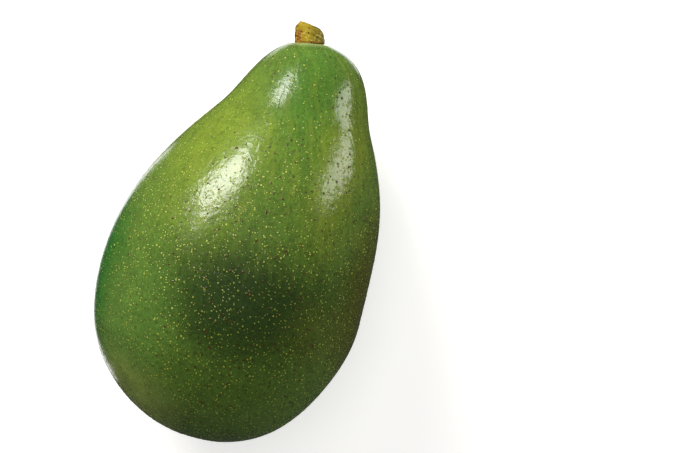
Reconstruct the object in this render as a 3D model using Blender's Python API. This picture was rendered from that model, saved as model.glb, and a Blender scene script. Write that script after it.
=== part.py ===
"""A whole avocado with the stub of its stem, lying on its side as a picked fruit does.

The fruit is a pear outline carried along a gently bent spine, with slightly flattened oval
sections. It is modelled along its own axis, from the blossom end towards the stem end, and an
empty then lays it down on its resting spot. Row frame: +Z up, +Y towards the stem, and the
origin on the resting spot, straight below the fruit's centre of mass.
"""

import math

import bmesh
import bpy
import numpy as np
from mathutils import Vector
from mathutils.geometry import interpolate_bezier

# Fruit, in metres along and across its own axis.
FRUIT_LENGTH = 0.120
BELLY_STATION = 0.043  # from the blossom end to the widest place
BELLY_WIDTH = 0.0780
BELLY_HEIGHT = 0.0742
NECK_LENGTH = 0.023  # from the stem end back to where the neck's width is set
NECK_WIDTH = 0.0454
NECK_TAPER = math.radians(32.0)  # slope of the side at the neck, against the axis

# How full the outline is on each side of its knots: Bezier handle lengths.
BLOSSOM_FULLNESS = 0.0245
BELLY_FULLNESS_LOW = 0.0205
BELLY_FULLNESS_HIGH = 0.0265
NECK_FULLNESS_LOW = 0.0170
NECK_FULLNESS_HIGH = 0.0100
STEM_END_FULLNESS = 0.0164

# The spine sways sideways below the belly, towards -X, and bends the other way above it.
BLOSSOM_SWAY = 0.0009
NECK_SHIFT = 0.0084

# The fruit is cut flat where it rests, and bored where the stem sits.
SPOT_DEPTH = 0.0007
SOCKET_DEPTH = 0.0012
SEAT_CLEARANCE = 0.0003

# How steeply the fruit may lie, and how many pitches are tried.
STEEPEST_PITCH = math.radians(30.0)
PITCH_STEPS = 6001

# Stem stub, broken off on a slant that is worn round.
STEM_LEAN = math.radians(13.5)  # from the fruit's axis, towards -X
STEM_SEAT = math.radians(7.5)  # how far the skin faces towards -X where the stem grows
STEM_DIAMETER = 0.0087
STEM_TOP_DIAMETER = 0.0084
STEM_LENGTH = 0.0059  # along its middle, from its foot to the break
STEM_FLATNESS = 0.93
BREAK_SLANT = math.radians(22.0)
BREAK_ROUNDING = 0.0020

# Fineness of the facets.
SEGMENTS = 60
OUTLINE_STEPS = (13, 14, 10)
BALANCE_STEPS = 400  # finer than the facets, so that the balance point is the smooth fruit's
STEM_SEGMENTS = 32
ROUNDING_STEPS = 5

# Surfaces: (colour, roughness), and the angle between facets from which an edge stays sharp.
SKIN = ((0.10, 0.20, 0.035), 0.3)
BARK = ((0.45, 0.28, 0.06), 0.7)
SHARP_EDGE = math.radians(30.0)


def clear_scene():
    for obj in list(bpy.data.objects):
        bpy.data.objects.remove(obj, do_unlink=True)


def material(name, color, roughness):
    made = bpy.data.materials.new(name)
    made.use_nodes = True
    shader = made.node_tree.nodes["Principled BSDF"]
    shader.inputs["Base Color"].default_value = (*color, 1.0)
    shader.inputs["Roughness"].default_value = roughness
    shader.inputs["Metallic"].default_value = 0.0
    return made


def add_object(name, bm, surface=None):
    bmesh.ops.recalc_face_normals(bm, faces=bm.faces)
    mesh = bpy.data.meshes.new(name)
    bm.to_mesh(mesh)
    bm.free()
    obj = bpy.data.objects.new(name, mesh)
    bpy.context.scene.collection.objects.link(obj)
    if surface:
        mesh.materials.append(surface)
    return obj


def neck_station():
    return FRUIT_LENGTH - NECK_LENGTH


def outline(steps):
    """(station, half width) points of the pear outline, from the blossom end to the stem end."""
    belly = Vector((BELLY_STATION, BELLY_WIDTH / 2))
    neck = Vector((neck_station(), NECK_WIDTH / 2))
    tip = Vector((FRUIT_LENGTH, 0.0))
    along = Vector((1.0, 0.0))
    outward = Vector((0.0, 1.0))
    taper = Vector((math.cos(NECK_TAPER), -math.sin(NECK_TAPER)))
    spans = (
        (
            Vector((0.0, 0.0)),
            outward * BLOSSOM_FULLNESS,
            belly - along * BELLY_FULLNESS_LOW,
            belly,
        ),
        (
            belly,
            belly + along * BELLY_FULLNESS_HIGH,
            neck - taper * NECK_FULLNESS_LOW,
            neck,
        ),
        (
            neck,
            neck + taper * NECK_FULLNESS_HIGH,
            tip + outward * STEM_END_FULLNESS,
            tip,
        ),
    )
    points = [(0.0, 0.0)]
    for span, count in zip(spans, steps):
        points += [tuple(p) for p in interpolate_bezier(*span, count + 1)[1:]]
    return np.array(points, dtype=float)


def spine_x(station):
    """Sideways place of the spine: one wave up to the belly, then an S-curve to the stem end."""
    below = np.clip(station / BELLY_STATION, 0.0, 1.0)
    above = np.clip((station - BELLY_STATION) / (FRUIT_LENGTH - BELLY_STATION), 0.0, 1.0)
    sway = BLOSSOM_SWAY * np.sin(math.pi * below) ** 2
    return NECK_SHIFT * above**2 * (3.0 - 2.0 * above) - sway


def flatness():
    return BELLY_HEIGHT / BELLY_WIDTH


def fine_outline():
    return outline((BALANCE_STEPS,) * len(OUTLINE_STEPS))


def integral(values, along):
    """Area under the values, by the trapezium rule."""
    return float(np.sum((values[1:] + values[:-1]) / 2 * np.diff(along)))


def balance():
    """Centre of mass of the fruit, and how it lies: (centre, pitch, height of the centre).

    The fruit rolls until its centre of mass is as low as it can be. The centre's height at a
    pitch is how far the outline reaches below it.
    """
    station, half = fine_outline().T
    area = half**2
    volume = integral(area, station)
    centre_x = integral(area * spine_x(station), station) / volume
    centre_y = integral(area * station, station) / volume
    centre = Vector((centre_x, centre_y, 0.0))
    pitches = np.linspace(-STEEPEST_PITCH, STEEPEST_PITCH, PITCH_STEPS)
    ahead = np.outer(np.sin(pitches), station - centre_y)
    below = np.outer(np.cos(pitches), half * flatness())
    heights = np.max(ahead + below, axis=1)
    at = np.argmin(heights)
    return centre, float(pitches[at]), float(heights[at])


def stem_foot():
    """Where the skin faces STEM_SEAT towards -X: (point on the skin, direction of the stem)."""
    station, half = fine_outline().T
    side = np.stack([spine_x(station) - half, station])
    run = np.gradient(side, axis=1)
    facing = np.arctan2(run[1], run[0])
    beyond_neck = station > neck_station()
    at = np.argmin(np.where(beyond_neck, abs(facing - STEM_SEAT), np.inf))
    foot = Vector((side[0, at], side[1, at], 0.0))
    direction = Vector((-math.sin(STEM_LEAN), math.cos(STEM_LEAN), 0.0))
    return foot, direction


def loft(bm, rings, start=None, end=None):
    """Skins rings of points, closing each end with a fan to a point, or with one flat face."""
    rows = [[bm.verts.new(p) for p in ring] for ring in rings]
    for row, following in zip(rows, rows[1:]):
        for i, vert in enumerate(row):
            j = (i + 1) % len(row)
            bm.faces.new((vert, row[j], following[j], following[i]))
    for row, tip in ((rows[0], start), (rows[-1], end)):
        if tip is None:
            bm.faces.new(row)
            continue
        point = bm.verts.new(tip)
        for i, vert in enumerate(row):
            bm.faces.new((vert, row[(i + 1) % len(row)], point))


def oval(centre_x, centre_y, half, flat, segments):
    turns = (2.0 * math.pi * i / segments for i in range(segments))
    return [
        (centre_x + half * math.cos(t), centre_y, flat * half * math.sin(t))
        for t in turns
    ]


def cut(target, cutter):
    """Takes the cutter's shape out of the target."""
    cutter.hide_render = True
    cutter.display_type = "WIRE"
    modifier = target.modifiers.new(cutter.name, "BOOLEAN")
    modifier.operation = "DIFFERENCE"
    modifier.solver = "EXACT"
    modifier.object = cutter


def make_fruit(surface):
    points = outline(OUTLINE_STEPS)
    rings = [
        oval(spine_x(station), station, half, flatness(), SEGMENTS)
        for station, half in points[1:-1]
    ]
    blossom_end = (spine_x(0.0), 0.0, 0.0)
    stem_end = (spine_x(FRUIT_LENGTH), FRUIT_LENGTH, 0.0)
    bm = bmesh.new()
    loft(bm, rings, blossom_end, stem_end)
    return add_object("fruit", bm, surface)


def make_spot_cutter(centre, pitch, height):
    """A block whose top is the floor plane: it leaves the flat spot that the fruit rests on."""
    side = 2.0 * FRUIT_LENGTH
    bm = bmesh.new()
    bmesh.ops.create_cube(bm, size=side)
    cutter = add_object("rest_spot_cutter", bm)
    down = Vector((0.0, math.sin(pitch), -math.cos(pitch)))
    cutter.location = centre + down * (height - SPOT_DEPTH + side / 2)
    cutter.rotation_euler = (pitch, 0.0, 0.0)
    return cutter


def make_socket_cutter(foot, direction):
    """A flat-bottomed bore, SEAT_CLEARANCE wider than the stem, that its foot sits in."""
    reach = 2.0 * (SOCKET_DEPTH + STEM_DIAMETER)  # well past the curve of the skin
    radius = STEM_DIAMETER / 2 + SEAT_CLEARANCE
    bm = bmesh.new()
    bmesh.ops.create_cone(
        bm,
        segments=STEM_SEGMENTS,
        radius1=radius,
        radius2=radius,
        depth=reach,
        cap_ends=True,
    )
    cutter = add_object("stem_socket_cutter", bm)
    cutter.location = foot + direction * (reach / 2 - SOCKET_DEPTH)
    cutter.rotation_euler = direction.to_track_quat("Z", "Y").to_euler()
    return cutter


def make_stem(surface):
    """A stub round local +Z with its foot at the origin, sloping down towards its +X side."""
    slant = math.tan(BREAK_SLANT)
    foot = oval(0.0, 0.0, STEM_DIAMETER / 2, STEM_FLATNESS, STEM_SEGMENTS)
    rings = [[(x, z, 0.0) for x, _, z in foot]]
    for step in range(ROUNDING_STEPS + 1):
        turn = math.pi / 2 * step / ROUNDING_STEPS
        half = STEM_TOP_DIAMETER / 2 - BREAK_ROUNDING * (1.0 - math.cos(turn))
        height = STEM_LENGTH - BREAK_ROUNDING * (1.0 - math.sin(turn))
        ring = oval(0.0, 0.0, half, STEM_FLATNESS, STEM_SEGMENTS)
        rings.append([(x, z, height - slant * x) for x, _, z in ring])
    bm = bmesh.new()
    loft(bm, rings)
    return add_object("stem", bm, surface)


def shade(obj):
    obj.data.shade_smooth()
    obj.data.set_sharp_from_angle(angle=SHARP_EDGE)


def main():
    clear_scene()
    centre, pitch, height = balance()
    foot, direction = stem_foot()
    fruit = make_fruit(material("fruit", *SKIN))
    spot = make_spot_cutter(centre, pitch, height)
    socket = make_socket_cutter(foot, direction)
    cut(fruit, spot)
    cut(fruit, socket)

    # The stem's foot is SEAT_CLEARANCE above the socket's floor. Its local +Z leans from the
    # fruit's axis by STEM_LEAN, and its local +X, the low side of the break, is towards +X.
    stem = make_stem(material("stem", *BARK))
    stem.location = foot - direction * (SOCKET_DEPTH - SEAT_CLEARANCE)
    stem.rotation_euler = (-math.pi / 2, 0.0, STEM_LEAN)
    shade(fruit)
    shade(stem)

    # Lay the fruit down: pitch it so that its centre of mass is straight above the spot.
    lay = bpy.data.objects.new("laid_down", None)
    bpy.context.scene.collection.objects.link(lay)
    lay.rotation_euler = (-pitch, 0.0, 0.0)
    bpy.context.view_layer.update()
    raised = lay.matrix_world @ centre
    lay.location = Vector((0.0, 0.0, height - SPOT_DEPTH)) - raised
    for obj in (fruit, stem, spot, socket):
        obj.parent = lay


main()
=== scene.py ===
"""The look of the whole avocado, lying on its side on a pale floor, seen from above.

The skin and the stem stub are finer copies of the two CAD solids, built from the same driving
dimensions. The skin is a cube sphere laid over the pear outline, lifted into lenticels and fine
leathery relief by the same formulas that colour it.
"""

import math

import bmesh
import bpy
import numpy as np
from mathutils import Matrix, Vector, noise
from mathutils.geometry import interpolate_bezier


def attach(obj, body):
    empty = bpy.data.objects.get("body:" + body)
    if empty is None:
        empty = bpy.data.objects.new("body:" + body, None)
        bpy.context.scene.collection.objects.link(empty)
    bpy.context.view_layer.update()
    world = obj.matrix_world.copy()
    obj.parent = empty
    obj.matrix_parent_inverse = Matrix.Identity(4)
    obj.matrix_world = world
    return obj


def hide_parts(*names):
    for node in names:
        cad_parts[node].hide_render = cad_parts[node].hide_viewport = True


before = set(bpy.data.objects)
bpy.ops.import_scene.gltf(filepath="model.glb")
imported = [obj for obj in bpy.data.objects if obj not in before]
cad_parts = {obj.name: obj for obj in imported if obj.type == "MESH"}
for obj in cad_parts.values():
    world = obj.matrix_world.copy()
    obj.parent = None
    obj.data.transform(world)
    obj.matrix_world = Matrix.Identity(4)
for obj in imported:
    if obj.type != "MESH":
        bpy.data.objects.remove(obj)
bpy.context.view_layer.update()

MM = 0.001

# The fruit's driving dimensions, as in the CAD model, in metres along and across its axis.
FRUIT_LENGTH = 0.120
BELLY_STATION = 0.043
BELLY_WIDTH = 0.0780
BELLY_HEIGHT = 0.0742
NECK_LENGTH = 0.023
NECK_WIDTH = 0.0454
NECK_TAPER = math.radians(32.0)
BLOSSOM_FULLNESS = 0.0245
BELLY_FULLNESS_LOW = 0.0205
BELLY_FULLNESS_HIGH = 0.0265
NECK_FULLNESS_LOW = 0.0170
NECK_FULLNESS_HIGH = 0.0100
STEM_END_FULLNESS = 0.0164
BLOSSOM_SWAY = 0.0009
NECK_SHIFT = 0.0084
SPOT_DEPTH = 0.0007
SOCKET_DEPTH = 0.0012
SEAT_CLEARANCE = 0.0003
BALANCE_STEPS = 400
STEEPEST_PITCH = math.radians(30.0)
PITCH_STEPS = 6001

# The stem stub, as in the CAD model.
STEM_LEAN = math.radians(13.5)
STEM_SEAT = math.radians(7.5)
STEM_DIAMETER = 0.0087
STEM_TOP_DIAMETER = 0.0084
STEM_LENGTH = 0.0059
STEM_FLATNESS = 0.93
BREAK_SLANT = math.radians(22.0)
BREAK_ROUNDING = 0.0020

# Room for relief: the smooth skin lies this far inside the CAD solid.
SKIN_INSET = 0.40 * MM
SKIN_CUTS = 127

# The grown fruit's unevenness, the mark at its blossom end, and the socket's edge and lip.
BROAD_SWELL = 0.28 * MM
BROAD_SIZE = (0.030, 0.034, 0.030)
LUMP_SWELL = 0.09 * MM
LUMP_SIZE = (0.011, 0.013, 0.011)
LUMP_SHIFT = 7.0
DIMPLE_DEPTH = 0.55 * MM
DIMPLE_RADIUS = 3.4 * MM
BEAK_HEIGHT = 0.45 * MM
BEAK_RADIUS = 0.9 * MM
SOCKET_SINK = 0.05 * MM
SOCKET_EDGE_INNER = 0.15 * MM
SOCKET_EDGE_OUTER = 0.9 * MM
LIP_HEIGHT = 0.22 * MM
LIP_OUT = 1.9 * MM
LIP_WIDTH = 1.0 * MM
STEM_REACH = 0.02

# The view: its width at the fruit, its centre in the fruit's own axes, and how far the fruit leans.
VIEW_WIDTH = 0.1968
VIEW_CENTRE = Vector((0.02635, 0.06964, 0.0))
VIEW_ROLL = math.radians(13.5)
LENS = 135.0
SENSOR = 36.0


def srgb(red, green, blue):
    """A colour given as 0 to 255 display values, as linear RGBA."""
    values = [c / 255.0 for c in (red, green, blue)]
    linear = [c / 12.92 if c <= 0.04045 else ((c + 0.055) / 1.055) ** 2.4 for c in values]
    return (*linear, 1.0)


def smoothstep(low, high, value):
    share = np.clip((value - low) / (high - low), 0.0, 1.0)
    return share * share * (3.0 - 2.0 * share)


def add_object(name, data):
    made = bpy.data.objects.new(name, data)
    bpy.context.scene.collection.objects.link(made)
    return made


def new_material(name):
    """A new material: (the material, its shader)."""
    made = bpy.data.materials.new(name)
    made.use_nodes = True
    return made, made.node_tree.nodes["Principled BSDF"]


# ---------------------------------------------------------------- the fruit's form


def outline(steps):
    """(station, half width) points of the pear outline, from the blossom end to the stem end."""
    belly = Vector((BELLY_STATION, BELLY_WIDTH / 2))
    neck = Vector((FRUIT_LENGTH - NECK_LENGTH, NECK_WIDTH / 2))
    tip = Vector((FRUIT_LENGTH, 0.0))
    along = Vector((1.0, 0.0))
    outward = Vector((0.0, 1.0))
    taper = Vector((math.cos(NECK_TAPER), -math.sin(NECK_TAPER)))
    spans = (
        (
            Vector((0.0, 0.0)),
            outward * BLOSSOM_FULLNESS,
            belly - along * BELLY_FULLNESS_LOW,
            belly,
        ),
        (
            belly,
            belly + along * BELLY_FULLNESS_HIGH,
            neck - taper * NECK_FULLNESS_LOW,
            neck,
        ),
        (
            neck,
            neck + taper * NECK_FULLNESS_HIGH,
            tip + outward * STEM_END_FULLNESS,
            tip,
        ),
    )
    points = [(0.0, 0.0)]
    for span in spans:
        points += [tuple(p) for p in interpolate_bezier(*span, steps + 1)[1:]]
    return np.array(points, dtype=float)


def spine_x(station):
    """Sideways place of the spine: one wave up to the belly, then an S-curve to the stem end."""
    below = np.clip(station / BELLY_STATION, 0.0, 1.0)
    above = np.clip((station - BELLY_STATION) / (FRUIT_LENGTH - BELLY_STATION), 0.0, 1.0)
    sway = BLOSSOM_SWAY * np.sin(math.pi * below) ** 2
    return NECK_SHIFT * above**2 * (3.0 - 2.0 * above) - sway


def integral(values, along):
    """Area under the values, by the trapezium rule."""
    return float(np.sum((values[1:] + values[:-1]) / 2 * np.diff(along)))


def laid_down():
    """The matrix from the fruit's own axes to the frame: pitched to rest, and on the floor."""
    station, half = outline(BALANCE_STEPS).T
    area = half**2
    volume = integral(area, station)
    centre_x = integral(area * spine_x(station), station) / volume
    centre_y = integral(area * station, station) / volume
    pitches = np.linspace(-STEEPEST_PITCH, STEEPEST_PITCH, PITCH_STEPS)
    ahead = np.outer(np.sin(pitches), station - centre_y)
    below = np.outer(np.cos(pitches), half * BELLY_HEIGHT / BELLY_WIDTH)
    heights = np.max(ahead + below, axis=1)
    at = np.argmin(heights)
    turn = Matrix.Rotation(-pitches[at], 4, "X")
    raised = turn @ Vector((centre_x, centre_y, 0.0))
    return Matrix.Translation(Vector((0.0, 0.0, heights[at] - SPOT_DEPTH)) - raised) @ turn


def stem_foot():
    """Where the skin faces STEM_SEAT towards -X: (point on the skin, direction of the stem)."""
    station, half = outline(BALANCE_STEPS).T
    side = np.stack([spine_x(station) - half, station])
    run = np.gradient(side, axis=1)
    facing = np.arctan2(run[1], run[0])
    beyond_neck = station > FRUIT_LENGTH - NECK_LENGTH
    at = np.argmin(np.where(beyond_neck, abs(facing - STEM_SEAT), np.inf))
    foot = Vector((side[0, at], side[1, at], 0.0))
    return foot, Vector((-math.sin(STEM_LEAN), math.cos(STEM_LEAN), 0.0))


def stem_place():
    """The matrix from the stem's own axes, foot at the origin and +Z up, to the frame."""
    seat = FOOT - STEM_DIRECTION * (SOCKET_DEPTH - SEAT_CLEARANCE)
    upright = Matrix.Rotation(STEM_LEAN, 4, "Z") @ Matrix.Rotation(-math.pi / 2, 4, "X")
    return LAY @ Matrix.Translation(seat) @ upright


LAY = laid_down()
FOOT, STEM_DIRECTION = stem_foot()
STEM_PLACE = stem_place()


# ---------------------------------------------------------------- node graphs


class Graph:
    """Short names for the nodes that a shader tree and a geometry tree have in common."""

    def __init__(self, tree):
        self.tree = tree

    def feed(self, socket, value):
        if isinstance(value, bpy.types.NodeSocket):
            self.tree.links.new(value, socket)
        else:
            socket.default_value = value

    def node(self, kind, inputs=None, **settings):
        made = self.tree.nodes.new(kind)
        for name, value in settings.items():
            setattr(made, name, value)
        for name, value in (inputs or {}).items():
            self.feed(made.inputs[name], value)
        return made

    def math(self, operation, *values):
        made = self.node("ShaderNodeMath", dict(enumerate(values)), operation=operation)
        return made.outputs[0]

    def add(self, *values):
        total = values[0]
        for value in values[1:]:
            total = self.math("ADD", total, value)
        return total

    def times(self, a, b):
        return self.math("MULTIPLY", a, b)

    def vector(self, operation, *values):
        made = self.node("ShaderNodeVectorMath", dict(enumerate(values)), operation=operation)
        return made.outputs["Value" if operation in ("LENGTH", "DOT_PRODUCT") else "Vector"]

    def scaled(self, vector, factor):
        made = self.node("ShaderNodeVectorMath", {0: vector, "Scale": factor}, operation="SCALE")
        return made.outputs["Vector"]

    def own_place(self, matrix):
        """Where a point is in a piece's own axes, in millimetres, for a mesh laid by the matrix."""
        made = self.node(
            "ShaderNodeMapping",
            {
                "Vector": self.node("ShaderNodeTexCoord").outputs["Object"],
                "Location": matrix.translation,
                "Rotation": matrix.to_euler(),
                "Scale": (MM, MM, MM),
            },
            vector_type="TEXTURE",
        )
        return made.outputs[0]

    def axes(self, vector):
        return self.node("ShaderNodeSeparateXYZ", {0: vector}).outputs

    def step(self, value, low, high):
        """0 below low, 1 above high, and smooth between. low may be the larger."""
        made = self.node(
            "ShaderNodeMapRange",
            {"Value": value, "From Min": low, "From Max": high},
            interpolation_type="SMOOTHSTEP",
        )
        return made.outputs["Result"]

    def blend(self, factor, a, b):
        """Colour a, or b where factor is 1. The numbers are the Mix node's colour sockets."""
        made = self.node("ShaderNodeMix", data_type="RGBA")
        self.feed(made.inputs[0], factor)
        self.feed(made.inputs[6], a)
        self.feed(made.inputs[7], b)
        return made.outputs[2]

    def clouds(self, place, size, detail=2.0, roughness=0.5, output=0):
        """Noise from 0 to 1 whose blobs are about size across, in the units of place."""
        made = self.node(
            "ShaderNodeTexNoise",
            {"Vector": place, "Scale": 1.0 / size, "Detail": detail, "Roughness": roughness},
        )
        return made.outputs[output]

    def wander(self, place, size, amount):
        """place, moved by up to half the amount each way."""
        drift = self.vector("SUBTRACT", self.clouds(place, size, output=1), (0.5, 0.5, 0.5))
        return self.vector("ADD", place, self.scaled(drift, amount))


# ---------------------------------------------------------------- the skin's relief and specks

# Lengths here are in millimetres.
SPECK_SPACING = 0.84
SPECK_WANDER = (0.8, 0.5)  # the size of the bends in their outlines, and their reach
SPECK_RADIUS = (0.20, 0.37)
RED_SPECK_EXTRA = 0.07
SPECK_LIFT = 0.08  # in the mesh
SPECK_BUMP = 0.16  # in the shading
MOAT_DEPTH = 0.02
DOME_EDGE = (1.0, 0.3)  # in speck radii, as are the moat's edges
MOAT_OUTSIDE = (1.60, 1.10)
MOAT_INSIDE = (0.7, 1.05)
RED_SHARE = (0.06, 0.12)  # of the specks: on the fruit's -X side, and how much more on its +X side
RED_SIDES = (-25.0, 25.0)
SPECK_SHARE = (0.27, 0.60)  # of the seeds: round the stem, and how much more on the belly
SPECKLED_ZONE = (104.0, 62.0)
BARE_SIDE = (-28.0, -37.0)
PATCH_SIZE = 12.0
PATCH_SHARE = 0.6
BARE_SHARE = 0.8
PEEL = (2.0, 2.0, 0.55)  # size, detail and roughness, as in all clouds below
PEEL_HEIGHT = 0.066
GRAIN = (0.7, 2.0, 0.6)
GRAIN_HEIGHT = 0.048
STREAK_WANDER = (14.0, 5.0)
STREAK_GIRTH = 30.0  # distance from the fruit's axis at which a streak has its width
STREAK_CLOUDS = (1.0, 2.0, 0.6)
DRAWN_SIZE = (1.1, 9.0)  # width and length
DRAWN_HEIGHT = 0.06
DRAWN_ZONE = (45.0, 85.0)


def specks(g, place):
    """Lenticels: (dome, moat round it, whether it is red), each from 0 to 1."""
    bent = g.wander(place, *SPECK_WANDER)
    seeds = g.node(
        "ShaderNodeTexVoronoi",
        {"Vector": bent, "Scale": 1.0 / SPECK_SPACING, "Randomness": 1.0},
        feature="F1",
    )
    distance = g.times(seeds.outputs["Distance"], SPECK_SPACING)
    draw = g.axes(seeds.outputs["Color"])
    low, high = SPECK_RADIUS
    side, along = g.axes(place)[:2]
    red_share = g.add(RED_SHARE[0], g.times(g.step(side, *RED_SIDES), RED_SHARE[1]))
    red = g.math("LESS_THAN", draw[2], red_share)
    spread = g.times(g.times(draw[0], draw[0]), high - low)
    radius = g.add(low, spread, g.times(red, RED_SPECK_EXTRA))
    out = g.math("DIVIDE", distance, radius)
    patchy = g.times(g.add(g.clouds(place, PATCH_SIZE), -0.5), PATCH_SHARE)
    bare = g.times(g.step(side, *BARE_SIDE), -BARE_SHARE)
    more = g.times(g.add(g.step(along, *SPECKLED_ZONE), patchy, bare), SPECK_SHARE[1])
    present = g.math("LESS_THAN", draw[1], g.add(SPECK_SHARE[0], more))
    dome = g.times(g.step(out, *DOME_EDGE), present)
    ring = g.times(g.step(out, *MOAT_OUTSIDE), g.step(out, *MOAT_INSIDE))
    moat = g.times(ring, present)
    return dome, moat, red


def meridian_streaks(g, place, width, length):
    """Noise from 0 to 1 drawn out along the fruit, from its blossom end to its stem end."""
    x, y, z = g.axes(g.wander(place, *STREAK_WANDER))[:3]
    round_axis = g.vector("NORMALIZE", g.node("ShaderNodeCombineXYZ", {0: x, 2: z}).outputs[0])
    spread = g.scaled(round_axis, STREAK_GIRTH / width)
    along = g.node("ShaderNodeCombineXYZ", {1: g.times(y, 1.0 / length)}).outputs[0]
    return g.clouds(g.vector("ADD", spread, along), *STREAK_CLOUDS)


def relief(g, place, dome, moat, speck_lift):
    """Height of the skin over its smooth form, in millimetres."""
    peel = g.times(g.add(g.clouds(place, *PEEL), -0.5), PEEL_HEIGHT)
    grain = g.times(g.add(g.clouds(place, *GRAIN), -0.5), GRAIN_HEIGHT)
    streaks = g.add(meridian_streaks(g, place, *DRAWN_SIZE), -0.5)
    necking = g.step(g.axes(place)[1], *DRAWN_ZONE)
    drawn = g.times(g.times(streaks, necking), DRAWN_HEIGHT)
    return g.add(peel, grain, drawn, g.times(dome, speck_lift), g.times(moat, -MOAT_DEPTH))


def relief_modifier(obj):
    """Lifts the mesh by the skin's relief, along its normals."""
    tree = bpy.data.node_groups.new("skin_relief", "GeometryNodeTree")
    tree.interface.new_socket("Geometry", in_out="INPUT", socket_type="NodeSocketGeometry")
    tree.interface.new_socket("Geometry", in_out="OUTPUT", socket_type="NodeSocketGeometry")
    g = Graph(tree)
    source = g.node("NodeGroupInput")
    place = g.scaled(g.node("GeometryNodeInputPosition").outputs[0], 1.0 / MM)
    dome, moat, _ = specks(g, place)
    lift = g.times(relief(g, place, dome, moat, SPECK_LIFT), MM)
    offset = g.scaled(g.node("GeometryNodeInputNormal").outputs[0], lift)
    moved = g.node("GeometryNodeSetPosition", {"Geometry": source.outputs[0], "Offset": offset})
    result = g.node("NodeGroupOutput")
    tree.links.new(moved.outputs[0], result.inputs[0])
    modifier = obj.modifiers.new("skin_relief", "NODES")
    modifier.node_group = tree


# ---------------------------------------------------------------- the skin's form


def unit_sphere():
    """A mesh of a cube sphere with evenly spread quads: (mesh, its points as unit vectors)."""
    bm = bmesh.new()
    bmesh.ops.create_cube(bm, size=2.0)
    bmesh.ops.subdivide_edges(bm, edges=bm.edges[:], cuts=SKIN_CUTS, use_grid_fill=True)
    mesh = bpy.data.meshes.new("skin")
    bm.to_mesh(mesh)
    bm.free()
    points = np.empty(len(mesh.vertices) * 3, dtype=np.float32)
    mesh.vertices.foreach_get("co", points)
    points = np.tan(points.reshape(-1, 3).astype(float) * math.pi / 4)
    return mesh, points / np.linalg.norm(points, axis=1, keepdims=True)


def set_points(mesh, points):
    mesh.vertices.foreach_set("co", points.astype(np.float32).ravel())
    mesh.update()


def get_points(mesh):
    points = np.empty(len(mesh.vertices) * 3, dtype=np.float32)
    mesh.vertices.foreach_get("co", points)
    return points.reshape(-1, 3).astype(float)


def get_normals(mesh):
    normals = np.empty(len(mesh.vertices) * 3, dtype=np.float32)
    mesh.vertex_normals.foreach_get("vector", normals)
    return normals.reshape(-1, 3).astype(float)


def pear(directions):
    """Points of the smooth fruit, in its own axes, for unit vectors round its middle."""
    station, half = outline(BALANCE_STEPS).T
    run = np.hypot(np.diff(station), np.diff(half))
    travelled = np.concatenate([[0.0], np.cumsum(run)])
    share = np.arccos(np.clip(-directions[:, 1], -1.0, 1.0)) / math.pi
    at = share * travelled[-1]
    y = np.interp(at, travelled, station)
    r = np.interp(at, travelled, half)
    around = np.arctan2(directions[:, 2], directions[:, 0])
    flatness = BELLY_HEIGHT / BELLY_WIDTH
    return np.stack([spine_x(y) + r * np.cos(around), y, flatness * r * np.sin(around)], axis=1)


def undulation(points):
    """Broad, shallow unevenness of a grown fruit, in metres."""
    broad = [noise.noise(place) for place in points / BROAD_SIZE]
    lumps = [noise.noise(place) for place in points / LUMP_SIZE + (LUMP_SHIFT, 0.0, 0.0)]
    return BROAD_SWELL * np.array(broad) + LUMP_SWELL * np.array(lumps)


def blossom_end(points):
    """The dimple and tiny beak at the blossom end, in metres along the normal."""
    out = np.hypot(points[:, 0], points[:, 2])
    near = points[:, 1] < BELLY_STATION / 2
    dimple = -DIMPLE_DEPTH * np.exp(-((out / DIMPLE_RADIUS) ** 2))
    beak = BEAK_HEIGHT * np.exp(-((out / BEAK_RADIUS) ** 2))
    return np.where(near, dimple + beak, 0.0)


def around_stem(points):
    """(distance from the stem's axis, distance along it from its foot on the skin)."""
    arm = points - np.array(FOOT)
    along = arm @ np.array(STEM_DIRECTION)
    across = np.linalg.norm(arm - np.outer(along, STEM_DIRECTION), axis=1)
    return across, along


def sink_socket(points):
    """Sets the skin under the stem down onto a flat floor, with a soft lip round it."""
    across, along = around_stem(points)
    radius = STEM_DIAMETER / 2
    near = along > -STEM_REACH
    inner = radius + SOCKET_EDGE_INNER
    outer = radius + SOCKET_EDGE_OUTER
    inside = np.where(near, smoothstep(outer, inner, across), 0.0)
    drop = np.maximum(along + SOCKET_DEPTH - SOCKET_SINK, 0.0) * inside
    lip = LIP_HEIGHT * np.exp(-(((across - radius - LIP_OUT) / LIP_WIDTH) ** 2)) * near
    return points + np.outer(lip - drop, STEM_DIRECTION)


def rest_on_floor(points):
    """Flattens what would sink below the floor."""
    up = np.array(LAY.inverted().to_3x3() @ Vector((0.0, 0.0, 1.0)))
    matrix = np.array(LAY)
    height = points @ matrix[2, :3] + matrix[2, 3]
    return points + np.outer(np.maximum(-height, 0.0), up)


def make_skin(surface):
    mesh, directions = unit_sphere()
    set_points(mesh, pear(directions))
    points = get_points(mesh)
    lift = undulation(points) + blossom_end(points) - SKIN_INSET
    set_points(mesh, sink_socket(points + get_normals(mesh) * lift[:, None]))
    rough = add_object("skin_rough", mesh)
    relief_modifier(rough)
    evaluated = rough.evaluated_get(bpy.context.evaluated_depsgraph_get())
    fine = bpy.data.meshes.new_from_object(evaluated)
    bpy.data.objects.remove(rough)
    fine.name = "avocado_skin"
    set_points(fine, rest_on_floor(get_points(fine)))
    fine.shade_smooth()
    fine.materials.append(surface)
    fine.transform(LAY)
    skin = add_object("avocado_skin", fine)
    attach(skin, "root")
    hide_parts("fruit")


# ---------------------------------------------------------------- the skin's surface

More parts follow.
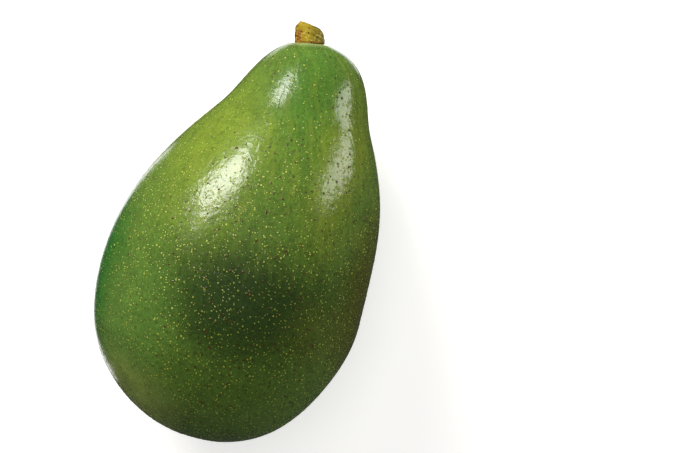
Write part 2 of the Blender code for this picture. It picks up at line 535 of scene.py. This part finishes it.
MID_GREEN = srgb(84, 113, 42)
# Deeper green: for mottles, and for dark patches that are partly painted shade.
DEEP_GREEN_AND_SHADE = srgb(36, 54, 22)
YELLOW_GREEN_AND_SHEEN = srgb(118, 138, 38)
LEAF_GREEN_AND_SHEEN = srgb(108, 124, 24)
SOFT_GREEN = srgb(88, 124, 52)
SOFT_OLIVE = srgb(88, 100, 34)
EMERALD_AND_RIM_LIGHT = srgb(30, 98, 28)
FRESH_GREEN = srgb(66, 108, 38)
OLIVE_AND_SHADE = srgb(72, 72, 6)
DULL_OLIVE_AND_REFLECTION = srgb(136, 152, 70)
STREAK_GREEN = srgb(132, 140, 48)
MOAT_GREEN_AND_SHADE = srgb(30, 40, 16)
PALE_SPECK = srgb(152, 166, 58)
DIM_SPECK_AND_SHADE = srgb(110, 124, 36)
RED_SPECK = srgb(68, 26, 0)
SCAR = srgb(92, 74, 44)
PALE_LIP = srgb(166, 176, 120)
PATCH_WANDER = (16.0, 9.0)  # mm: the size of the bends in the patches' edges, and their reach
PATCH_EDGE = (1.15, 0.25)  # in patch radii
MOTTLE_CLOUDS = (4.5, 3.0, 0.6)
MOTTLE_EDGE = (0.35, 0.7)
MOTTLE_STRENGTH = 0.22
# Fine light and dark flecks: partly the skin's own mottling, partly painted shading of its grain.
FLECK_AND_GRAIN_SHADE_CLOUDS = (0.85, 2.0, 0.65)
FLECK_AND_GRAIN_SHADE_DARKEST = 0.44
FLECK_AND_GRAIN_SHADE_CONTRAST = 1.12
STREAK_SIZE = (1.3, 12.0)  # mm: width and length
STREAK_EDGE = (0.45, 0.7)
STREAK_STRENGTH = 0.26
STREAK_ZONE = (40.0, 75.0)  # mm along the fruit
LIGHT_GROUND = (0.05, 0.18)
SPECK_LIGHT_GROUND = (0.04, 0.13)
SPECK_EDGE = (0.05, 0.45)
RED_EDGE = (0.05, 0.4)
MOAT_SHADE = (0.62, 0.24)  # painted shade in the moats: on dark ground, and how much less on light ground
LIP_STRENGTH = 0.68
LIP_RADII = (8.6, 4.9)  # mm from the stem's axis
LIP_ZONE = (100.0, 105.0)  # mm along the fruit
SCAR_RADII = (2.4, 1.0)  # mm
SKIN_ROUGHNESS = 0.15
ROUGHNESS_CLOUDS = (3.0, 3.0, 0.6)
ROUGHNESS_VARIATION = 0.09
SPECK_ROUGHNESS = 0.28
SKIN_IOR = 1.46
SKIN_BUMP_STRENGTH = 0.65

# Patches of colour: centre and radii in millimetres in the fruit's own axes, colour, strength.
PATCHES = (
    # Partly the skin's yellow-green, partly a painted glow round the key light's highlight.
    ((-12, 80, 18), (18, 32, 60), YELLOW_GREEN_AND_SHEEN, 0.66),
    # Partly the skin's tone, partly a painted yellowish sheen under the side light's highlight.
    ((22, 86, 14), (9, 32, 60), LEAF_GREEN_AND_SHEEN, 0.65),
    ((10, 106, 16), (13, 22, 60), FRESH_GREEN, 0.60),
    # Dark patches in the middle: partly the skin's deeper green, partly painted shade.
    ((9, 40, 24), (46, 42, 60), DEEP_GREEN_AND_SHADE, 0.25),
    ((8, 44, 24), (34, 19, 60), DEEP_GREEN_AND_SHADE, 0.95),
    ((2, 34, 24), (15, 13, 60), DEEP_GREEN_AND_SHADE, 0.45),
    ((28, 37, 24), (13, 13, 60), SOFT_OLIVE, 0.45),
    # Dark patch low at the blossom end: partly the skin's deeper green, partly painted shade.
    ((8, -2, 10), (38, 12, 60), DEEP_GREEN_AND_SHADE, 0.55),
    ((-23, 30, 12), (15, 28, 60), SOFT_GREEN, 0.60),
    # Band along the left side: partly the skin's deeper green, partly painted rim light.
    ((-39, 46, 0), (10, 38, 60), EMERALD_AND_RIM_LIGHT, 0.95),
    # Low on the left side: partly the skin's dull olive, partly a painted rim reflection.
    ((-22, 9, 6), (21, 16, 32), DULL_OLIVE_AND_REFLECTION, 0.74),
    # Along the right side: partly the skin's olive, partly painted shade and a painted yellowish
    # reflection.
    ((37, 54, 0), (11, 32, 34), OLIVE_AND_SHADE, 0.90),
)


def patchwork(g, place):
    """The skin's ground colour; some patches are partly painted shade, painted sheen and painted
    reflections.
    """
    warped = g.wander(place, *PATCH_WANDER)
    color = MID_GREEN
    for centre, radii, tint, strength in PATCHES:
        arm = g.vector("DIVIDE", g.vector("SUBTRACT", warped, centre), radii)
        inside = g.step(g.vector("LENGTH", arm), *PATCH_EDGE)
        color = g.blend(g.times(inside, strength), color, tint)
    return color


def skin_material():
    made, shader = new_material("avocado_skin")
    g = Graph(made.node_tree)
    place = g.own_place(LAY)
    dome, moat, red = specks(g, place)

    ground = patchwork(g, place)
    light = g.axes(ground)[1]
    mottle = g.step(g.clouds(place, *MOTTLE_CLOUDS), *MOTTLE_EDGE)
    ground = g.blend(g.times(mottle, MOTTLE_STRENGTH), ground, DEEP_GREEN_AND_SHADE)
    # Fine flecks: partly the skin's mottling, partly painted shading of its grain.
    flecks_and_grain_shade = g.times(g.clouds(place, *FLECK_AND_GRAIN_SHADE_CLOUDS), FLECK_AND_GRAIN_SHADE_CONTRAST)
    ground = g.scaled(ground, g.add(FLECK_AND_GRAIN_SHADE_DARKEST, flecks_and_grain_shade))
    streaks = g.step(meridian_streaks(g, place, *STREAK_SIZE), *STREAK_EDGE)
    necking = g.step(g.axes(place)[1], *STREAK_ZONE)
    ground = g.blend(g.times(g.times(streaks, necking), STREAK_STRENGTH), ground, STREAK_GREEN)
    # A darker ring in the dip round each speck: partly the skin's own ring, partly painted shade,
    # stronger on darker ground.
    shade = g.add(MOAT_SHADE[0], g.times(g.step(light, *LIGHT_GROUND), -MOAT_SHADE[1]))
    ground = g.blend(g.times(moat, shade), ground, MOAT_GREEN_AND_SHADE)

    # Specks on darker ground are dimmer: partly their own tone, partly painted shade.
    pale = g.blend(g.step(light, *SPECK_LIGHT_GROUND), DIM_SPECK_AND_SHADE, PALE_SPECK)
    speck = g.blend(g.times(red, g.step(dome, *RED_EDGE)), pale, RED_SPECK)
    color = g.blend(g.step(dome, *SPECK_EDGE), ground, speck)

    arm = g.vector("SUBTRACT", place, tuple(FOOT / MM))
    rise = g.vector("DOT_PRODUCT", arm, tuple(STEM_DIRECTION))
    lean = g.scaled(tuple(STEM_DIRECTION), rise)
    across = g.vector("LENGTH", g.vector("SUBTRACT", arm, lean))
    lip = g.times(g.step(across, *LIP_RADII), g.step(g.axes(place)[1], *LIP_ZONE))
    color = g.blend(g.times(lip, LIP_STRENGTH), color, PALE_LIP)

    out = g.vector("LENGTH", place)
    color = g.blend(g.step(out, *SCAR_RADII), color, SCAR)
    g.feed(shader.inputs["Base Color"], color)

    uneven = g.times(g.clouds(place, *ROUGHNESS_CLOUDS), ROUGHNESS_VARIATION)
    roughness = g.add(SKIN_ROUGHNESS, uneven, g.times(dome, SPECK_ROUGHNESS))
    g.feed(shader.inputs["Roughness"], roughness)
    shader.inputs["IOR"].default_value = SKIN_IOR

    height = g.times(relief(g, place, dome, moat, SPECK_BUMP), MM)
    bump_settings = {"Height": height, "Strength": SKIN_BUMP_STRENGTH, "Distance": 1.0}
    bump = g.node("ShaderNodeBump", bump_settings)
    g.feed(shader.inputs["Normal"], bump.outputs[0])
    return made


# ---------------------------------------------------------------- the stem stub

BARK = srgb(148, 128, 24)
BARK_GREEN_AND_SHADE = srgb(112, 102, 32)
BARK_PALE_HIGHLIGHT = srgb(196, 184, 96)
BARK_RED = srgb(120, 42, 12)
BARK_DARK = srgb(38, 24, 10)
BARK_FOOT = srgb(112, 76, 20)
STEM_SEGMENTS = 120
STEM_ROWS = 44
BREAK_ROWS = 22
CHAMFER_HEIGHT = 5.0 * MM
CHAMFER_RISE = 1.1
STEM_TRIM = 0.25 * MM
TOP_ROWS = 26
TOP_SAG = 0.35 * MM
SHARP_EDGE = math.radians(60.0)
RIPPLE_SIZE = 0.55 * MM
RIPPLE_TURN = 1.3  # how much the ripples change round the stub
RIPPLE_SLANT = 0.3
RIPPLE_HEIGHT = 0.10 * MM
KNOB_WIDTH = 2.2 * MM
KNOB_LENGTH = 2.0 * MM
KNOB_SHIFT = 5.0
KNOB_HEIGHT = 0.22 * MM
SWELL_OFFSET = 0.02 * MM
DENT_SIZE = 0.8 * MM
DENT_SHIFT = 3.0
DENT_DEPTH = 0.16 * MM
PIT_SPACING = 1.25  # mm
PIT_EDGE = (0.30, 0.17)
PIT_STRENGTH = 0.92
PIT_RELIEF = 0.08  # mm
STREAK_RELIEF = 0.12  # mm

# Where the stub's colours lie, in millimetres across it (x) or up it (z), the clouds that break
# them up and where those step in, and how strong they are.
# Greener and darker towards +X: partly the stub's green, partly painted shade on the side turned
# from the key light.
GREEN_AND_SHADE_SIDE = (-1.5, 3.5)
GREEN_AND_SHADE_STRENGTH = 0.85
# The pale spots low on the stub are painted highlights.
HIGHLIGHT_CLOUDS = (1.0, 2.0, 0.6)
HIGHLIGHT_EDGE = (0.48, 0.64)
HIGHLIGHT_RISE = (4.2, 2.2)
HIGHLIGHT_STRENGTH = 0.7
BLUSH_CLOUDS = (1.0, 2.0)
BLUSH_EDGE = (0.36, 0.56)
BLUSH_SIDE = (-1.0, -3.8)
BLUSH_RISE = (5.2, 2.6)
RUST_CLOUDS = (0.8, 2.0, 0.6)
RUST_EDGE = (0.60, 0.72)
RUST_STRENGTH = 0.6
BAND_CLOUDS = (0.45, 3.0, 0.6)
BAND_FLATTENING = 0.3
WRINKLED_SIDE = (-1.0, 2.5)
WRINKLE_EDGE = (0.46, 0.66)
WRINKLE_STRENGTH = 0.7
FOOT_RISE = (0.8, 0.45)
FOOT_STRENGTH = 0.8
CORNER_SIDE = (-2.6, -3.9)
CORNER_RISE = (4.4, 5.4)
CORNER_STRENGTH = 0.7
STEM_ROUGHNESS = 0.55
STEM_SPECULAR = 0.15
STEM_BUMP_STRENGTH = 0.9


def stem_rows():
    """(share of the way up the side, share of the rounding, share of the way to the middle)."""
    rows = [(row / STEM_ROWS, 0.0, 0.0) for row in range(STEM_ROWS)]
    rows += [(1.0, row / BREAK_ROWS, 0.0) for row in range(BREAK_ROWS)]
    rows += [(1.0, 1.0, row / TOP_ROWS) for row in range(TOP_ROWS)]
    return rows


def stem_point(side, rounding, inward, turn):
    """A point of the stub, with its foot at the origin and +Z up, sloping down towards +X."""
    angle = rounding * math.pi / 2
    reach = STEM_TOP_DIAMETER / 2 - BREAK_ROUNDING * (1.0 - math.cos(angle))
    half = (STEM_DIAMETER + (2.0 * reach - STEM_DIAMETER) * side) / 2 * (1.0 - inward)
    right, back = math.cos(turn), math.sin(turn)
    x = half * right
    y = STEM_FLATNESS * half * back
    top = STEM_LENGTH - BREAK_ROUNDING * (1.0 - math.sin(angle)) - math.tan(BREAK_SLANT) * x
    sag = TOP_SAG * inward * inward
    chamfer = CHAMFER_HEIGHT + CHAMFER_RISE * (x + STEM_DIAMETER / 2)
    z = side * (min(top, chamfer) - STEM_TRIM) - sag
    climb = (z + RIPPLE_SLANT * x) / RIPPLE_SIZE
    ripple = noise.noise((right * RIPPLE_TURN, back * RIPPLE_TURN, climb))
    knob = noise.noise((x / KNOB_WIDTH, y / KNOB_WIDTH, z / KNOB_LENGTH + KNOB_SHIFT))
    swell = (RIPPLE_HEIGHT * ripple + KNOB_HEIGHT * knob + SWELL_OFFSET) * (1.0 - inward)
    dent = DENT_DEPTH * noise.noise((x / DENT_SIZE, y / DENT_SIZE, DENT_SHIFT)) * rounding
    return (x + right * swell, y + back * swell, z + dent * side)


def make_stem(surface):
    bm = bmesh.new()
    rows = []
    for row in stem_rows():
        turns = (2.0 * math.pi * i / STEM_SEGMENTS for i in range(STEM_SEGMENTS))
        rows.append([bm.verts.new(stem_point(*row, turn)) for turn in turns])
    middle = bm.verts.new(stem_point(1.0, 1.0, 1.0, 0.0))
    for row, following in zip(rows, rows[1:]):
        for i, vert in enumerate(row):
            j = (i + 1) % STEM_SEGMENTS
            bm.faces.new((vert, row[j], following[j], following[i]))
    for i, vert in enumerate(rows[-1]):
        bm.faces.new((vert, rows[-1][(i + 1) % STEM_SEGMENTS], middle))
    bm.faces.new(rows[0])
    bmesh.ops.recalc_face_normals(bm, faces=bm.faces)
    mesh = bpy.data.meshes.new("stem_stub")
    bm.to_mesh(mesh)
    bm.free()
    mesh.shade_smooth()
    mesh.set_sharp_from_angle(angle=SHARP_EDGE)
    mesh.materials.append(surface)
    mesh.transform(STEM_PLACE)
    stem = add_object("stem_stub", mesh)
    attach(stem, "root")
    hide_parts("stem")


def stem_material():
    made, shader = new_material("stem_bark")
    g = Graph(made.node_tree)
    place = g.own_place(STEM_PLACE)
    x, y, z = g.axes(place)[:3]
    slant = g.add(z, g.times(x, math.tan(BREAK_SLANT)))
    across, back = g.times(x, BAND_FLATTENING), g.times(y, BAND_FLATTENING)
    bands = g.node("ShaderNodeCombineXYZ", {0: across, 1: back, 2: slant})
    streak = g.clouds(bands.outputs[0], *BAND_CLOUDS)

    # Greener and darker towards +X: partly the stub's green, partly painted shade.
    green = g.times(g.step(x, *GREEN_AND_SHADE_SIDE), GREEN_AND_SHADE_STRENGTH)
    color = g.blend(green, BARK, BARK_GREEN_AND_SHADE)
    # Pale spots low on the stub: painted highlights.
    pale = g.step(g.clouds(place, *HIGHLIGHT_CLOUDS), *HIGHLIGHT_EDGE)
    pale = g.times(pale, g.times(g.step(z, *HIGHLIGHT_RISE), HIGHLIGHT_STRENGTH))
    color = g.blend(pale, color, BARK_PALE_HIGHLIGHT)
    blush = g.times(g.step(x, *BLUSH_SIDE), g.step(z, *BLUSH_RISE))
    blush = g.times(blush, g.step(g.clouds(place, *BLUSH_CLOUDS), *BLUSH_EDGE))
    color = g.blend(blush, color, BARK_RED)
    rust = g.step(g.clouds(place, *RUST_CLOUDS), *RUST_EDGE)
    color = g.blend(g.times(rust, RUST_STRENGTH), color, BARK_RED)
    wrinkled = g.times(g.step(streak, *WRINKLE_EDGE), g.step(x, *WRINKLED_SIDE))
    color = g.blend(g.times(wrinkled, WRINKLE_STRENGTH), color, BARK_DARK)
    color = g.blend(g.times(g.step(z, *FOOT_RISE), FOOT_STRENGTH), color, BARK_FOOT)
    seeds = {"Vector": place, "Scale": 1.0 / PIT_SPACING}
    pits = g.node("ShaderNodeTexVoronoi", seeds, feature="F1")
    pit = g.step(pits.outputs["Distance"], *PIT_EDGE)
    color = g.blend(g.times(pit, PIT_STRENGTH), color, BARK_DARK)
    corner = g.times(g.step(x, *CORNER_SIDE), g.step(z, *CORNER_RISE))
    color = g.blend(g.times(corner, CORNER_STRENGTH), color, BARK_DARK)
    g.feed(shader.inputs["Base Color"], color)
    shader.inputs["Roughness"].default_value = STEM_ROUGHNESS
    shader.inputs["Specular IOR Level"].default_value = STEM_SPECULAR

    height = g.times(g.add(g.times(streak, STREAK_RELIEF), g.times(pit, -PIT_RELIEF)), MM)
    bump_settings = {"Height": height, "Strength": STEM_BUMP_STRENGTH, "Distance": 1.0}
    bump = g.node("ShaderNodeBump", bump_settings)
    g.feed(shader.inputs["Normal"], bump.outputs[0])
    return made


# ---------------------------------------------------------------- floor, light and camera

FLOOR_REACH = 4.0
WALL_HEIGHT = 0.4
FLOOR_COLOR = (0.75, 0.75, 0.75, 1.0)
FLOOR_ROUGHNESS = 0.9
FLOOR_GLOW = 0.56
WORLD_GLOW = 0.05
WHITE = (1.0, 1.0, 1.0, 1.0)


def make_floor():
    """A pale floor with low pale walls round it, so that a level view doesn't end in a dark sky."""
    corners = ((-1.0, -1.0), (1.0, -1.0), (1.0, 1.0), (-1.0, 1.0))
    low = [(x * FLOOR_REACH, y * FLOOR_REACH, 0.0) for x, y in corners]
    high = [(x, y, WALL_HEIGHT) for x, y, _ in low]
    walls = [(i, (i + 1) % 4, (i + 1) % 4 + 4, i + 4) for i in range(4)]
    mesh = bpy.data.meshes.new("floor")
    mesh.from_pydata(low + high, [], [(0, 1, 2, 3), *walls])
    made, shader = new_material("floor")
    shader.inputs["Base Color"].default_value = FLOOR_COLOR
    shader.inputs["Roughness"].default_value = FLOOR_ROUGHNESS
    shader.inputs["Specular IOR Level"].default_value = 0.0
    shader.inputs["Emission Color"].default_value = WHITE
    shader.inputs["Emission Strength"].default_value = FLOOR_GLOW
    mesh.materials.append(made)
    floor = add_object("floor", mesh)
    floor.visible_glossy = False


def view_axes():
    """The view's right, up and towards-the-camera directions, in the frame."""
    turn = LAY.to_3x3()
    right = turn @ Vector((math.cos(VIEW_ROLL), math.sin(VIEW_ROLL), 0.0))
    up = turn @ Vector((-math.sin(VIEW_ROLL), math.cos(VIEW_ROLL), 0.0))
    return right, up, right.cross(up)


WARM_WHITE = (1.0, 0.975, 0.93)
GLOW_RADIANCE = 1.8
GLOW_CARD_HEIGHT = 0.001
AIM_SHARE = 0.55

# Softboxes: name, direction from the fruit in the view's axes, distance, size, radiance, and
# whether the skin's gloss mirrors it.
SOFTBOXES = (
    ("key", (-0.395, 0.728, 0.560), 0.75, (0.34, 0.33), 20.0, True),
    ("side", (0.92, 0.37, 0.16), 0.60, (0.12, 0.36), 7.6, True),
    ("fill", (0.10, 0.10, 1.00), 1.10, (0.80, 0.80), 3.1, False),
)

# Glow cards on the floor: name, middle in the fruit's own axes, and size.
GLOW_CARDS = (
    ("left_glow", (-0.046, 0.038), (0.011, 0.10)),
    ("top_glow", (0.005, 0.127), (0.06, 0.012)),
)


def area_light(name, size, radiance):
    """A rectangular light. Its power is pi times its radiance, over its area."""
    light = bpy.data.lights.new(name, "AREA")
    light.shape = "RECTANGLE"
    light.size, light.size_y = size
    light.energy = radiance * math.pi * size[0] * size[1]
    lamp = add_object(name, light)
    lamp.visible_camera = False
    return lamp


def softbox(name, direction, distance, size, radiance, mirrored):
    """A warm light that faces the fruit's middle."""
    right, up, towards = view_axes()
    aim = LAY @ Vector((0.0, AIM_SHARE * FRUIT_LENGTH, 0.0))
    way = (right * direction[0] + up * direction[1] + towards * direction[2]).normalized()
    lamp = area_light(name, size, radiance)
    lamp.data.color = WARM_WHITE
    lamp.location = aim + way * distance
    lamp.rotation_euler = way.to_track_quat("Z", "Y").to_euler()
    lamp.visible_glossy = mirrored


def glow_card(name, middle, size):
    """A light lying on the floor that lights nothing, but shows in the skin's gloss."""
    lamp = area_light(name, size, GLOW_RADIANCE)
    spot = LAY @ Vector((middle[0], middle[1], 0.0))
    lamp.location = (spot.x, spot.y, GLOW_CARD_HEIGHT)
    lamp.rotation_euler = (math.pi, 0.0, 0.0)
    lamp.visible_diffuse = False


def make_light():
    for box in SOFTBOXES:
        softbox(*box)
    for card in GLOW_CARDS:
        glow_card(*card)
    world = bpy.data.worlds.new("world")
    world.use_nodes = True
    background = world.node_tree.nodes["Background"]
    background.inputs["Color"].default_value = WHITE
    background.inputs["Strength"].default_value = WORLD_GLOW
    bpy.context.scene.world = world
    bpy.context.scene.view_settings.view_transform = "Standard"


def make_camera():
    right, up, towards = view_axes()
    data = bpy.data.cameras.new("camera")
    data.lens = LENS
    data.sensor_width = SENSOR
    camera = add_object("camera", data)
    place = LAY @ VIEW_CENTRE + towards * (VIEW_WIDTH * LENS / SENSOR)
    turn = Matrix((right, up, towards)).transposed().to_4x4()
    camera.matrix_world = Matrix.Translation(place) @ turn
    bpy.context.scene.camera = camera


make_skin(skin_material())
make_stem(stem_material())
make_floor()
make_light()
make_camera()
